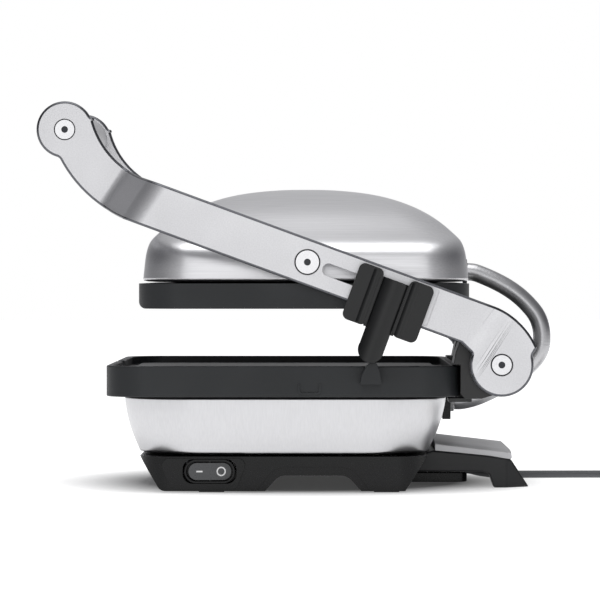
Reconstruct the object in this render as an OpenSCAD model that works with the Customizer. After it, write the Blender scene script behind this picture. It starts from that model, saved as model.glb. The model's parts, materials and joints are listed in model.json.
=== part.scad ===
// Panini press: a base with a flat cooking plate, and a lid that floats on two arms.
// X is the user's right, -Y the front with the handle, +Z up. Z = 0 is the table.

/* [Plates] */
// Width of both cooking plates
plate_w = 292; // [270:2:320]
// Depth of the lower plate
low_plate_d = 250; // [230:2:270]
// Depth of the upper plate
up_plate_d = 234; // [216:2:252]
// Thickness of the upper plate's slab
up_plate_t = 17.7; // [14:0.1:22]
// Radius of the plates' corners, seen from above
plate_corner = 28; // [18:1:36]
// Top of the lower plate's rim above the table
rim_z = 89.7; // [84:0.1:96]
// Height of the lower plate's side
low_plate_t = 21.7; // [17:0.1:26]
// Wall of the lower plate's rim
rim_wall = 5; // [4:0.5:8]
// Depth of the cooking surface below the rim
rim_depth = 5; // [3:0.5:8]
// Underside of the upper plate above the table, with the lid on its rest
up_plate_z = 130; // [127:0.5:140]
// Pitch of the ribs under the upper plate
rib_pitch = 12; // [9:0.5:16]
// Depth of the grooves between the ribs
rib_depth = 3; // [1.5:0.5:5]

/* [Housings] */
// Sheet thickness of the steel shells
shell_t = 1.2; // [0.8:0.1:2]
// Height of the upper housing above its plate
dome_h = 69; // [60:1:80]
// Half-depth of the upper housing at its foot
dome_half_d = 116.5; // [108:0.5:124]
// Half-width of the upper housing at its foot
dome_half_w = 136; // [126:1:140]
// Top of the base tray above the table
tray_z = 25.6; // [20:0.2:32]
// Half-width of the lower housing at its top
shell_half_w = 137; // [128:1:140]
// Radius of the lower housing's corners, seen from above
shell_corner = 46; // [30:1:56]

/* [Arms] */
// Thickness of the arms
arm_t = 10; // [8:0.5:12]
// Width of the arms' bars
arm_w = 31.9; // [28:0.1:36]
// Gap between the upper plate's side and the arms
arm_gap = 3; // [2.6:0.1:4]
// Slope of the arms in degrees, with the lid on its rest
arm_slope = 20.15; // [18:0.05:22]
// Distance between the arms' outer faces at the handle
handle_w = 210; // [190:2:230]
// Radius of the arms' front ends
handle_end_r = 20.2; // [18:0.1:24]
// Radius of the grip tube
grip_r = 17.5; // [14:0.5:19]
// Wall of the grip tube
grip_wall = 2; // [1:0.5:4]
// Radius of the arms' hinge bosses
boss_r = 22.3; // [18:0.1:24]
// Inward step of the arms at the hinge
boss_step = 12; // [8:1:14]

/* [Pins and fits] */
// Radius of the hinge shaft
shaft_r = 6; // [5:0.5:8]
// Radius of the pivot studs
stud_r = 5; // [4:0.5:6]
// Radial clearance of a running fit
run_fit = 0.05; // [0.02:0.01:0.1]
// Wall of the hinge bushes
bush_wall = 2; // [1.5:0.5:3]
// Radius of the caps over the hinge and at the handle
cap_r = 7.7; // [6.5:0.1:9]
// Radius of the caps over the pivots
pivot_cap_r = 8.9; // [8:0.1:10]
// Depth of the caps' recesses
cap_t = 2; // [1:0.5:3]

/* [Height slider] */
// Travel of the slider from its rest to its lock
slider_travel = 46.7; // [40:0.1:48]
// Width of the slider along the arm
slider_w = 54.8; // [48:0.2:58]
// Thickness of the slider's wings
slider_t = 4.8; // [4:0.1:8]
// Radius of the slider's foot
foot_r = 9; // [7:0.5:10]
// Half-width of the slot in the arm
slot_r = 4.5; // [3.5:0.1:6]

/* [Switch and tail] */
// Length of the rocker switch
switch_l = 33; // [28:1:40]
// Height of the rocker switch
switch_h = 14; // [12:0.5:15]
// Half-width of the cord-storage foot
tail_half_w = 74; // [60:1:90]
// Radius of the conduit
conduit_r = 6.6; // [5:0.1:7]
// Radius of the mains cord
cord_r = 2.8; // [2.5:0.1:3.5]

/* [Hidden] */
$fn = 64;

gap = 0.3;                          // clearance between pieces that move past each other
low_y1 = 113.5;                     // rear of the lower plate, set by the hinge behind it
up_y0 = -113.5;                     // front of the upper plate
dome_y = up_y0 + up_plate_d / 2 + 1.2;
half_w = plate_w / 2;
low_y0 = low_y1 - low_plate_d;
up_y1 = up_y0 + up_plate_d;
lip_z = rim_z - low_plate_t;        // underside of the lower plate
dome_z = up_plate_z + up_plate_t;   // underside of the upper housing

pivot = [6, 162.7];                 // floating pivot, as Y and Z
hinge = [142.1, 90.7];              // rear hinge, as Y and Z
grip = [-167.2, 257.4];             // handle's axis, as Y and Z
arm_in = half_w + arm_gap;          // inner face of an arm's middle
arm_out = arm_in + arm_t;
boss_out = arm_out - boss_step;
boss_in = boss_out - arm_t;
grip_out = handle_w / 2;
grip_in = grip_out - arm_t;
bend_at = -128.3;                   // centre of the arms' front bend, along the arm from the pivot
bend_r = 77.4;                      // its radius at the bar's middle
bar_end = 132.8;                    // where the bar runs into the neck above the boss
neck_r = 53.3;                      // radius of that neck's upper edge

slider_at = 15.8 + slider_travel;   // slider's middle at rest, along the arm
foot_drop = 42.1;                   // centre of the slider's foot below the arm's line
slider_in = arm_out + gap;
slider_out = slider_in + slider_t;

shell_top = lip_z - 0.3;
shell_y0 = low_y0 + 11;
shell_y1 = low_y1 - 8;

// ---- frames and small helpers ----

// A point on the arm: a along it from the pivot to the rear, n square to it, as Y and Z
function on_arm(a, n) = [
  pivot[0] + a * cos(arm_slope) + n * sin(arm_slope),
  pivot[1] - a * sin(arm_slope) + n * cos(arm_slope)
];

// Puts a flat shape drawn in Y and Z between two values of X
module slab(x0, x1) {
  multmatrix([[0, 0, 1, x0], [1, 0, 0, 0], [0, 1, 0, 0], [0, 0, 0, 1]])
    linear_extrude(x1 - x0) children();
}

// The same, with the shape drawn along the arm
module arm_slab(x0, x1) {
  translate([0, pivot[0], pivot[1]]) rotate([-arm_slope, 0, 0]) slab(x0, x1) children();
}

// A round bar along X at a point of Y and Z
module rod(r, x0, x1, at) {
  translate([x0, at[0], at[1]]) rotate([0, 90, 0]) cylinder(r = r, h = x1 - x0);
}

// Both sides of the machine
module both() {
  children();
  mirror([1, 0, 0]) children();
}

// A rectangle with round corners, from one corner to the other
module rounded(p, q, r) {
  translate([p[0] + r, p[1]]) square([q[0] - p[0] - 2 * r, q[1] - p[1]]);
  translate([p[0], p[1] + r]) square([q[0] - p[0], q[1] - p[1] - 2 * r]);
  for (x = [p[0] + r, q[0] - r], y = [p[1] + r, q[1] - r]) translate([x, y]) circle(r);
}

// A corner at b, on the way from a to c, rounded by r
function fillet(a, b, c, r) =
  let (
    u = (a - b) / norm(a - b), v = (c - b) / norm(c - b), half = acos(u * v) / 2,
    m = b + (u + v) / norm(u + v) * r / sin(half),
    p = b + u * r / tan(half) - m, q = b + v * r / tan(half) - m,
    from = atan2(p[1], p[0]), turn = (atan2(q[1], q[0]) - from + 540) % 360 - 180
  )
  [for (i = [0:6]) m + r * [cos(from + turn * i / 6), sin(from + turn * i / 6)]];

// One ring of a loft: [z, half width, front, rear, corner radius]
loft_n = 7;
function ring(s) = [
  for (c = [0:3], i = [0:loft_n])
    let (
      angle = 90 * c + 90 * i / loft_n,
      cx = (c == 0 || c == 3 ? 1 : -1) * (s[1] - s[4]),
      cy = c < 2 ? s[3] - s[4] : s[2] + s[4]
    )
    [cx + s[4] * cos(angle), cy + s[4] * sin(angle), s[0]]
];

module loft(sections) {
  n = 4 * (loft_n + 1);
  last = len(sections) - 1;
  polyhedron(
    points = [for (s = sections) each ring(s)],
    faces = concat(
      [[for (i = [0:n - 1]) i]],
      [for (k = [0:last - 1], i = [0:n - 1])
        [k * n + i, (k + 1) * n + i, (k + 1) * n + (i + 1) % n, k * n + (i + 1) % n]],
      [[for (i = [n - 1:-1:0]) last * n + i]]
    ),
    convexity = 4
  );
}

// A round tube swept along points in space
function unit(v) = v / norm(v);
function tangent(p, i) = unit(p[min(i + 1, len(p) - 1)] - p[max(i - 1, 0)]);
function spline_at(p, i, t) =
  let (
    a = p[max(i - 1, 0)], b = p[i], c = p[i + 1], d = p[min(i + 2, len(p) - 1)]
  )
  0.5 * (2 * b + (c - a) * t + (2 * a - 5 * b + 4 * c - d) * t * t + (3 * b - a - 3 * c + d) * t * t * t);
function smooth_route(p, steps) = [
  for (i = [0:len(p) - 2], k = [0:steps - 1]) spline_at(p, i, k / steps), p[len(p) - 1]
];

module sweep_tube(p, r, sides, side_axis) {
  n = len(p);
  polyhedron(
    points = [
      for (i = [0:n - 1])
        let (t = tangent(p, i), u = unit(cross(side_axis, t)), v = cross(t, u))
        for (k = [0:sides - 1])
          let (angle = 360 * (k + 0.5) / sides)
          p[i] + r * (cos(angle) * u + sin(angle) * v)
    ],
    faces = concat(
      [[for (k = [sides - 1:-1:0]) k]],
      [for (i = [0:n - 2], k = [0:sides - 1])
        [i * sides + k, i * sides + (k + 1) % sides, (i + 1) * sides + (k + 1) % sides, (i + 1) * sides + k]],
      [[for (k = [0:sides - 1]) (n - 1) * sides + k]]
    ),
    convexity = 6
  );
}

// ---- base ----

skirt_x = half_w - 15;              // side face of the tray
panel_x = skirt_x + 2;              // raised panel round the switch
foot_h = 1.2;
switch_at = [-63, 15.2];

// An arch between two feet, from y0 to y1 at its foot, grown by g
module arch(y0, y1, g) {
  a = [y0 - g, -1];
  b = [y0 + 12 - g / 2, 12.3 + g];
  c = [y1 - 12 + g / 2, 12.3 + g];
  d = [y1 + g, -1];
  polygon(concat([a], fillet(a, b, c, 11 + g), fillet(b, c, d, 11 + g), [d]));
}

// The tray's outline from the side: two feet with an arch between them
module tray_side() {
  a = [shell_y0 + 12.5, tray_z];      // the tray starts where the housing ends
  b = [shell_y0 + 27.5, foot_h];
  c = [75, foot_h];
  d = [91, tray_z];
  difference() {
    polygon(concat([a], fillet(a, b, c, 6), [c, d]));
    arch(-26, 46, 0);
  }
}

// Raised panel round the switch
module switch_panel() {
  a = [-99, tray_z - 1.2];
  b = [-90, foot_h + 1.4];
  c = [-44, foot_h + 1.4];
  d = [-36, tray_z - 1.2];
  polygon(concat(fillet(d, a, b, 5), fillet(a, b, c, 5), fillet(b, c, d, 5), fillet(c, d, a, 5)));
}

module base_tray() {
  color("#1d1e20") difference() {
    union() {
      intersection() {
        slab(-skirt_x, skirt_x) tray_side();
        translate([0, 0, -1])
          linear_extrude(tray_z + 2) rounded([-skirt_x, -113.5], [skirt_x, 91.5], 22);
      }
      slab(0, panel_x) switch_panel();
    }
    // the side face steps back round the arch
    for (x = [-skirt_x - 1, skirt_x - 1]) slab(x, x + 2) arch(-26, 46, 6);
    // hollow inside, open at the top
    translate([-skirt_x + 12, -84, 14]) cube([2 * skirt_x - 24, 160, tray_z]);
    // pocket of the switch
    slab(skirt_x - 16, panel_x + 1)
      rounded([switch_at[0] - switch_l / 2 - 2.5, switch_at[1] - switch_h / 2 - 1.6],
              [switch_at[0] + switch_l / 2 + 2.5, switch_at[1] + switch_h / 2 + 1.6], switch_h / 2);
    // screw holes
    for (x = [-110, 110], y = [-80, 62]) translate([x, y, -1]) cylinder(r = 2.2, h = 40);
    // way out for the cord
    translate([cord_x, 70, cord_exit_z]) rotate([-90, 0, 0]) cylinder(r = 4.5, h = 40);
  }
}

module rubber_feet() {
  color("#2a2a2a") for (x = [-110, 110], y = [-62, 62]) difference() {
    translate([x - 12, y - 9, 0]) cube([24, 18, foot_h]);
    translate([x, y == 62 ? 62 : -80, -1]) cylinder(r = 3.4, h = 4);
  }
}

// The lower housing narrows towards the tray in a soft curve
function shell_sections(t, drop) = [
  for (s = [[0, 11.5, 14], [0.12, 9.4, 11.6], [0.3, 6.2, 7.6], [0.5, 3.3, 4.4], [0.75, 1.1, 1.6], [1, 0, 0]])
    [tray_z + drop + s[0] * (shell_top - tray_z - drop),
     shell_half_w - s[1] * 0.55 - t, shell_y0 + s[1] + t, shell_y1 - s[2] - t, shell_corner - t]
];

module lower_housing() {
  color("#c9c9cb") difference() {
    loft(shell_sections(0, 0.2));
    difference() {
      loft(shell_sections(shell_t, -0.6));
      translate([-200, -200, 0]) cube([400, 400, tray_z - 0.2]);
    }
    translate([-shell_half_w + 8, shell_y0 + 8, shell_top - 1])
      cube([2 * shell_half_w - 16, shell_y1 - shell_y0 - 16, 3]);
    // way in for the gland
    translate([0, shell_y1 - 20, low_gland_z]) rotate([-90, 0, 0]) cylinder(r = 5, h = 40);
  }
}

module lower_plate() {
  y0 = low_y0;
  y1 = low_y1;
  module outline(inset, r) rounded([-half_w + inset, y0 + inset], [half_w - inset, y1 - inset], r);
  color("#3c3f42") difference() {
    translate([0, 0, lip_z]) linear_extrude(low_plate_t) outline(0, plate_corner);
    // cooking surface below the rim
    translate([0, 0, rim_z - rim_depth]) linear_extrude(rim_depth + 20)
      outline(rim_wall, plate_corner - rim_wall);
    // hollow underside
    translate([0, 0, lip_z - 1]) linear_extrude(low_plate_t - rim_depth - 5 + 1)
      outline(rim_wall + 9, plate_corner - rim_wall);
    // grease channel round the cooking surface
    translate([0, 0, rim_z - rim_depth - 1.5]) linear_extrude(10) difference() {
      outline(rim_wall, plate_corner - rim_wall);
      outline(rim_wall + 7, plate_corner - rim_wall - 6);
    }
    // drain notch in the front rim
    translate([-12, y0 - 1, rim_z - rim_depth - 1.5]) cube([24, rim_wall + 3, 20]);
  }
}

// Rest for the slider's foot, on the plate's side, with a ramp down to the front
module slider_rest() {
  color("#3c3f42") {
    translate([half_w, foot_at[0] - 7, lip_z + 9.5]) cube([1, 14.3, rim_z - lip_z - 10]);
    slab(half_w + 0.4, arm_in + 9) polygon([
      [foot_at[0] - 7.5, lip_z + 9.5], [foot_at[0] - 6.4, rim_z - 6], [foot_at[0] - 3, rest_z - 1.6],
      [foot_at[0] - 0.5, rest_z], [foot_at[0] + 4.2, rest_z],
      [foot_at[0] + 6.6, rim_z - 5], [foot_at[0] + 7.5, lip_z + 9.5]
    ]);
  }
}

// U mark on the plate's side, where the foot locks
module lock_mark() {
  color("#4a4d50") slab(half_w, half_w + 1.2) difference() {
    rounded([-0.6, lip_z + 1.8], [15.4, lip_z + 12], 3);
    rounded([0.7, lip_z + 3.1], [14.1, lip_z + 12], 1.8);
    translate([-2, lip_z + 9.2]) square([20, 5]);
  }
}

// Centre line of a heating element: two long bars joined by a bend, inside a plate
module element(z, y_mid, r) {
  for (x = [-80, 80]) translate([x, y_mid - 16, z]) rotate([-90, 0, 0]) cylinder(r = r, h = 100);
  translate([0, y_mid - 16, z]) rotate([0, 0, 180]) rotate_extrude(angle = 180) translate([80, 0]) circle(r);
}

element_r = 3.2;
module lower_element() {
  color("#77787a") element(rim_z - rim_depth - 5 - element_r - 0.2, (low_y0 + low_y1) / 2, element_r);
}

module lower_heat_shield() {
  color("#b9babc") translate([-115, low_y0 + 28, lip_z - 2.5]) difference() {
    cube([230, low_plate_d - 62, 1]);
    for (x = [30, 200]) translate([x, 160, -1]) cylinder(r = 6, h = 4);
  }
}

module lower_thermostat() {
  color("#d8d2c2") translate([0, -10, rim_z - rim_depth - 5 - 7.3]) cylinder(r = 9, h = 7);
}

module terminal_block() {
  color("#e6e2d6") translate([-24, 50, 14]) difference() {
    cube([48, 16, 12]);
    for (x = [8, 24, 40]) translate([x, 8, 4]) cylinder(r = 2.5, h = 20);
  }
}

module housing_screws() {
  color("#8d8f91") for (x = [-110, 110], y = [-80, 62]) translate([x, y, 0]) {
    translate([0, 0, 2.2]) cylinder(r = 2.1, h = 21);
  }
}

// ---- hinge ----

ear_out = boss_in - 1;
ear_in = ear_out - 32;
bush_r = shaft_r + run_fit + bush_wall;

// An ear stays within the arc that the upper plate's rear edge sweeps round the hinge.
// Above the plate's rim, the right ear reaches further to the front than the left one.
module ear_side(front) {
  intersection() {
    translate(hinge) circle(r = 35);
    polygon([
      [low_y1, lip_z - 1.4], [low_y1, rim_z + 1], [front, rim_z + 1], [front + 1.9, 100], [front + 5.3, 109],
      [front + 6.9, 112], [154, 112], [161, 106], [160, 92], [hinge[0] + 10, hinge[1] - 17],
      [hinge[0], hinge[1] - 20], [low_y1 + 15, lip_z - 1.4]
    ]);
  }
}

module hinge_frame() {
  color("#161718") difference() {
    union() {
      slab(ear_in, ear_out) ear_side(low_y1 - 4.9);
      slab(-ear_out, -ear_in) ear_side(low_y1 + 4.6);
      // cross bar against the plate's rear, and feet under its lip
      translate([-ear_in - 1, low_y1, lip_z - 1.4]) cube([2 * ear_in + 2, 8.5, 13.4]);
      both() translate([ear_in + 4, shell_y1, lip_z - 4]) cube([20, low_y1 + 8.5 - shell_y1, 3]);
    }
    both() rod(bush_r, ear_in - 1, ear_out + 1, hinge);
    // room for the conduit
    translate([-16, low_y1 - 2, lip_z - 4]) cube([32, 20, 9]);
  }
}

module hinge_bushes() {
  color("#b08d57") both() difference() {
    rod(bush_r, ear_in, ear_out, hinge);
    rod(shaft_r + run_fit, ear_in - 1, ear_out + 1, hinge);
  }
}

module hinge_shaft() {
  color("#9a9c9e") rod(shaft_r, -boss_out + cap_t, boss_out - cap_t, hinge);
}

// A flush round cap with a small socket, over the end of a pin
module flush_cap(r, x, at) {
  difference() {
    rod(r, x - cap_t, x - 0.1, at);
    rod(2.4, x - 1, x + 1, at);
  }
}

module hinge_caps() {
  color("#d4d5d7") both() flush_cap(cap_r, boss_out, hinge);
}

// ---- arms ----

bend_c = on_arm(bend_at, bend_r);
neck_c = on_arm(bar_end, arm_w / 2 - neck_r);

// An arm's outline from the side
module arm_side() {
  translate(pivot) rotate(-arm_slope)
    translate([bend_at, -arm_w / 2]) square([bar_end - bend_at, arm_w]);
  // the bend that carries the handle
  intersection() {
    translate(bend_c) difference() {
      circle(r = bend_r + arm_w / 2);
      circle(r = bend_r - arm_w / 2);
    }
    translate(bend_c) polygon([
      [0, 0], 140 * [cos(193), sin(193)], 160 * [cos(220), sin(220)],
      140 * [cos(270 - arm_slope), sin(270 - arm_slope)]
    ]);
  }
  translate(grip) circle(r = handle_end_r);
  translate(hinge) circle(r = boss_r);
  // the neck between the bar and the boss
  intersection() {
    translate(neck_c) circle(r = neck_r);
    polygon([
      on_arm(bar_end - 30.8, -arm_w / 2), on_arm(bar_end - 12.8, -arm_w / 2), hinge + [-21, 8],
      hinge, hinge + [21.3, 6.6], hinge + [34, 26], hinge + [8, 52], on_arm(bar_end, 20)
    ]);
  }
}

// Both bends of an arm lie square to one direction in the side view, which rises to the front
strip_tilt = 34;
front_bend = [-117.8, 209.4];
rear_bend = [132, 114];
bends_apart = (rear_bend[0] - front_bend[0]) * cos(strip_tilt)
  - (rear_bend[1] - front_bend[1]) * sin(strip_tilt);
arm_mid = arm_in + arm_t / 2;
boss_mid = boss_in + arm_t / 2;
grip_mid = grip_in + arm_t / 2;

// A step from x0 to x1 in two equal bends, centred at a place along the strip
function bend_path(at, x0, x1, r, turn) =
  let (
    side = x1 > x0 ? 1 : -1,
    across = abs(x1 - x0) - 2 * r * (1 - cos(turn)),
    run = 2 * r * sin(turn) + across / tan(turn),
    steps = 8
  )
  concat(
    [for (i = [0:steps]) let (a = turn * i / steps)
      [at - run / 2 + r * sin(a), x0 + side * r * (1 - cos(a)), side * a]],
    [for (i = [steps:-1:0]) let (a = turn * i / steps)
      [at + run / 2 - r * sin(a), x1 - side * r * (1 - cos(a)), side * a]]
  );

// The arm's strip seen square to that direction, from the rear to the front
strip_path = concat(
  [[-bends_apart - 120, boss_mid, 0]],
  bend_path(-bends_apart, boss_mid, arm_mid, 16, 40),
  bend_path(0, arm_mid, grip_mid, 12, 68),
  [[140, grip_mid, 0]]
);

module arm_strip() {
  p = strip_path;
  translate([0, front_bend[0], front_bend[1]]) rotate([-strip_tilt, 0, 0])
    multmatrix([[0, 1, 0, 0], [-1, 0, 0, 0], [0, 0, 1, -160]]) linear_extrude(320) polygon(concat(
      [for (q = p) [q[0] - arm_t / 2 * sin(q[2]), q[1] + arm_t / 2 * cos(q[2])]],
      [for (i = [len(p) - 1:-1:0]) let (q = p[i])
        [q[0] + arm_t / 2 * sin(q[2]), q[1] - arm_t / 2 * cos(q[2])]]
    ));
}

module arm_blank() {
  intersection() {
    slab(grip_in - 8, arm_out + 1) arm_side();
    arm_strip();
  }
}

module arm_holes() {
  rod(shaft_r + run_fit, 0, 300, hinge);
  rod(cap_r + gap, boss_out - cap_t - gap, 300, hinge);
  rod(stud_r + run_fit, 0, 300, pivot);
  rod(pivot_cap_r + gap, arm_out - cap_t - gap, 300, pivot);
  rod(rod_r, 0, 300, grip);
  rod(cap_r, grip_out - cap_t, 300, grip);
}

module arm_right() {
  color("#cfd0d1") difference() {
    arm_blank();
    arm_holes();
    // slot of the height slider
    arm_slab(0, 300) rounded([15.8 - slot_r, -slot_r], [slider_at + 1.5 + slot_r, slot_r], slot_r - 0.01);
    // shallow track behind the slider
    arm_slab(arm_out - 1.2, 300)
      rounded([slider_at - 22, -arm_w / 2 + 2.2], [slider_at + 31, arm_w / 2 - 2.4], 2);
  }
}

module arm_left() {
  color("#cfd0d1") mirror([1, 0, 0]) difference() {
    arm_blank();
    arm_holes();
  }
}

rod_r = 4;
module handle_grip() {
  color("#c4c5c7") difference() {
    rod(grip_r, -grip_in, grip_in, grip);
    rod(grip_r - grip_wall, -grip_in - 1, grip_in + 1, grip);
  }
}

module grip_rod() {
  color("#8a8c8e") rod(rod_r, -grip_out + cap_t, grip_out - cap_t, grip);
}

module grip_screws() {
  color("#d4d5d7") both() difference() {
    rod(cap_r, grip_out - cap_t, grip_out - 0.1, grip);
    rod(2.4, grip_out - 1, grip_out + 1, grip);
  }
}

// ---- head ----

// Height as a share of the dome's, inset along X, inset along Y, corner radius
dome_steps = [
  [0, 0, 0, 34], [0.22, 0.8, 1.5, 34], [0.3, 1.9, 2.4, 34], [0.36, 4.6, 3.4, 34], [0.41, 9.5, 4.6, 35],
  [0.455, 16.5, 6.2, 37], [0.52, 24.5, 9, 40], [0.62, 35, 15, 44], [0.73, 48, 26, 46], [0.82, 62, 38, 45],
  [0.9, 78, 53, 40], [0.955, 95, 71, 30], [0.985, 112, 90, 18], [1, 128, 108, 7]
];
function dome_sections(t, drop) = [
  for (s = dome_steps)
    [dome_z + 0.2 + s[0] * (dome_h - t) + (s[0] == 0 ? drop : 0), dome_half_w - s[1] - (s[0] < 1 ? t : 2),
     dome_y - dome_half_d + s[2] + (s[0] < 1 ? t : 2), dome_y + dome_half_d - s[2] - (s[0] < 1 ? t : 2),
     s[3] - (s[0] < 1 ? t : 2)]
];

module upper_housing() {
  color("#cbcbcd") difference() {
    loft(dome_sections(0, 0));
    loft(dome_sections(shell_t, -1));
    both() rod(spacer_r, 100, 200, pivot);
    translate([0, dome_y + 60, up_gland_z]) rotate([-90, 0, 0]) cylinder(r = conduit_r - 1, h = 100);
  }
}

module upper_plate() {
  grooves = floor((plate_w - 60) / rib_pitch);
  color("#36393c") difference() {
    intersection() {
      translate([0, 0, up_plate_z]) linear_extrude(up_plate_t)
        rounded([-half_w, up_y0], [half_w, up_y1], plate_corner);
      // rounded lower edges at the front and rear
      slab(-half_w - 1, half_w + 1) {
        rounded([up_y0, up_plate_z], [up_y1, up_plate_z + up_plate_t], 5.6);
        translate([up_y0, up_plate_z + 8]) square([up_plate_d, up_plate_t - 8]);
      }
    }
    // grooves between the ribs
    for (i = [0:grooves]) translate([(i - grooves / 2) * rib_pitch - 3, up_y0 + 12, up_plate_z - 1])
      cube([6, up_plate_d - 24, rib_depth + 1]);
    // hollow top
    translate([0, 0, up_plate_z + rib_depth + 6])
      linear_extrude(up_plate_t)
        rounded([-half_w + 18, up_y0 + 14], [half_w - 18, up_y1 - 14], plate_corner - 10);
  }
}

module upper_element() {
  color("#77787a") element(up_plate_z + rib_depth + 6 + element_r + 0.2, dome_y, element_r);
}

module upper_heat_shield() {
  color("#b9babc") translate([-118, up_y0 + 20, dome_z + 1]) difference() {
    cube([236, up_plate_d - 40, 1]);
    translate([118, up_plate_d - 60, -1]) cylinder(r = 7, h = 4);
  }
}

module upper_thermostat() {
  color("#d8d2c2") translate([40, -10, up_plate_z + rib_depth + 6.2]) cylinder(r = 8, h = 7);
}

spacer_r = 7;
left_cap_proud = 1.9;
frame_x = dome_half_w - 12;
module head_frame() {
  color("#8f9193") difference() {
    union() {
      both() translate([frame_x - 3, pivot[0] - 12, dome_z + 3]) cube([3, 24, 24]);
      translate([-frame_x, pivot[0] - 12, dome_z + 3]) cube([2 * frame_x, 24, 2]);
    }
    both() rod(stud_r, frame_x - 10, frame_x + 10, pivot);
  }
}

module pivot_studs() {
  color("#9a9c9e") both() {
    rod(stud_r, frame_x - 8, arm_out - cap_t, pivot);
    rod(spacer_r, frame_x, arm_in - gap - 1.6, pivot);
  }
}

module pivot_caps() {
  color("#d4d5d7") {
    flush_cap(pivot_cap_r, arm_out, pivot);
    // a guess: the left cap stands proud, which also keeps the part's box about midway on X = 0
    mirror([1, 0, 0]) union() {
      flush_cap(pivot_cap_r, arm_out, pivot);
      difference() {
        rod(pivot_cap_r - 0.6, arm_out - 0.2, arm_out + left_cap_proud, pivot);
        rod(2.4, arm_out - 1, arm_out + 4, pivot);
      }
    }
  }
}

// ---- height slider ----

foot_at = on_arm(slider_at, -foot_drop);
rest_z = foot_at[1] - foot_r - 0.4;

// The slider's outline along the arm
module slider_side() {
  for (s = [-1, 1]) translate([slider_at, 0]) scale([s, 1])
    rounded([9.5, -28], [slider_w / 2, 13.5], 4.5);
}

// A round bar square to the arm, at a place along it, whose skin reaches out to x
module bar_across(a, r, x) {
  translate([x - r, pivot[0], pivot[1]]) rotate([-arm_slope, 0, 0]) translate([0, a, -foot_drop - 20])
    cylinder(r = r, h = foot_drop + 50);
}

module height_slider() {
  color("#26282a") difference() {
    union() {
      arm_slab(slider_in, slider_out) slider_side();
      // web between the wings, and the back of the tongue
      arm_slab(slider_in, slider_out - 1.9) {
        translate([slider_at - foot_r - 2, -28]) square([2 * foot_r + 4, 37]);
        translate([slider_at - foot_r, -foot_drop]) square([2 * foot_r, 30]);
        translate([slider_at, -foot_drop]) circle(r = foot_r);
      }
      // half-round tongue, down to the round foot
      intersection() {
        arm_slab(slider_in + 0.5, slider_out + 2) {
          translate([slider_at - foot_r, -foot_drop]) square([2 * foot_r, foot_drop + 9]);
          translate([slider_at, -foot_drop]) circle(r = foot_r);
        }
        bar_across(slider_at, 13.9, slider_out + 1.8);
      }
      // a round rib along the inner edge of each wing
      intersection() {
        arm_slab(slider_in + 0.5, slider_out + 2) for (a = [-14.2, 14.2])
          translate([slider_at + a - 4, -27]) square([8, 39]);
        for (a = [-14.2, 14.2]) bar_across(slider_at + a, 4.2, slider_out + 1.2);
      }
      // pad under the arm that stands on the plate's rest
      arm_slab(arm_in, slider_in + 1) {
        translate([slider_at - 6, -foot_drop]) square([12, foot_drop - arm_w / 2 - 4]);
        translate([slider_at, -foot_drop]) circle(r = foot_r);
      }
    }
    rod(2.1, slider_in - 1, slider_in + 3, on_arm(slider_at, 0));
  }
}

module slider_key() {
  color("#a5a7a9") {
    arm_slab(arm_in - 1.6, arm_in - 0.3) rounded([slider_at - 8, -8], [slider_at + 8, 8], 3);
    rod(slot_r - 0.1, arm_in - 0.4, slider_in, on_arm(slider_at, 0));
    rod(2, slider_in - 0.1, slider_in + 2.8, on_arm(slider_at, 0));
  }
}

// ---- switch ----

module switch_oval(grow) {
  rounded([switch_at[0] - switch_l / 2 - grow, switch_at[1] - switch_h / 2 - grow],
          [switch_at[0] + switch_l / 2 + grow, switch_at[1] + switch_h / 2 + grow],
          switch_h / 2 + grow - 0.01);
}

rocker_x = skirt_x - 5;
module switch_bezel() {
  color("#0e0f10") difference() {
    slab(skirt_x - 15, panel_x - 0.3) switch_oval(1.3);
    slab(skirt_x - 8, panel_x + 1) switch_oval(0);
    // holes for the rocker's pins
    translate([rocker_x, switch_at[0], switch_at[1] - switch_h / 2 - 2])
      cylinder(r = 1.2 + run_fit, h = switch_h + 4);
  }
}

module switch_body() {
  color("#1b1b1b") translate([skirt_x - 30, switch_at[0] - 12, switch_at[1] - 1]) cube([13.5, 24, 10]);
}

module rocker() {
  color("#3a3c3e") translate([rocker_x, switch_at[0], switch_at[1]]) {
    rotate([0, 0, 2]) difference() {
      slab(-1.4, 6.5)
        rounded([-switch_l / 2 + 1.4, -switch_h / 2 + 1], [switch_l / 2 - 1.4, switch_h / 2 - 1],
          switch_h / 2 - 1.01);
      // the two halves of its face lean a little apart
      translate([6.6, 0, -20]) rotate([0, 0, 6]) cube([5, 40, 40]);
    }
    translate([0, 0, -switch_h / 2 - 1.1]) cylinder(r = 1.2, h = switch_h + 2.2);
  }
}

// ---- tail ----

cord_x = -38;
cord_exit_z = 7;
tail_y0 = 92;
tray_slope = 16 / (tray_z - foot_h);
function tray_rear(z) = 75 + (z - foot_h) * tray_slope;  // rear face of the tray

module tail_side() {
  polygon([
    [tail_y0 + 4, tray_z + 1.2], [115, 25.2], [137, 23], [153, 20.4], [166.4, 0],
    [140.4, 0], [137, 10], [131.5, 11.6], [tray_rear(11.6), 11.6], [tray_rear(tray_z - 1), tray_z - 1]
  ]);
}

// The tail's outline from above, with its rear corners cut
module tail_plan() {
  w = tail_half_w;
  polygon([[-w, 70], [-w, 150], [14 - w, 170], [w - 14, 170], [w, 150], [w, 70]]);
}

module tail_body() {
  color("#2c2d30") difference() {
    intersection() {
      slab(-tail_half_w, tail_half_w) tail_side();
      translate([0, 0, -1]) linear_extrude(60) tail_plan();
    }
    // hollow between the legs and open to the rear for the cord
    translate([-tail_half_w + 14, tail_y0 - 1, -1]) cube([2 * tail_half_w - 28, 60, 15]);
    translate([cord_x - 8, 130, -1]) cube([16, 60, 10]);
  }
}

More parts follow.
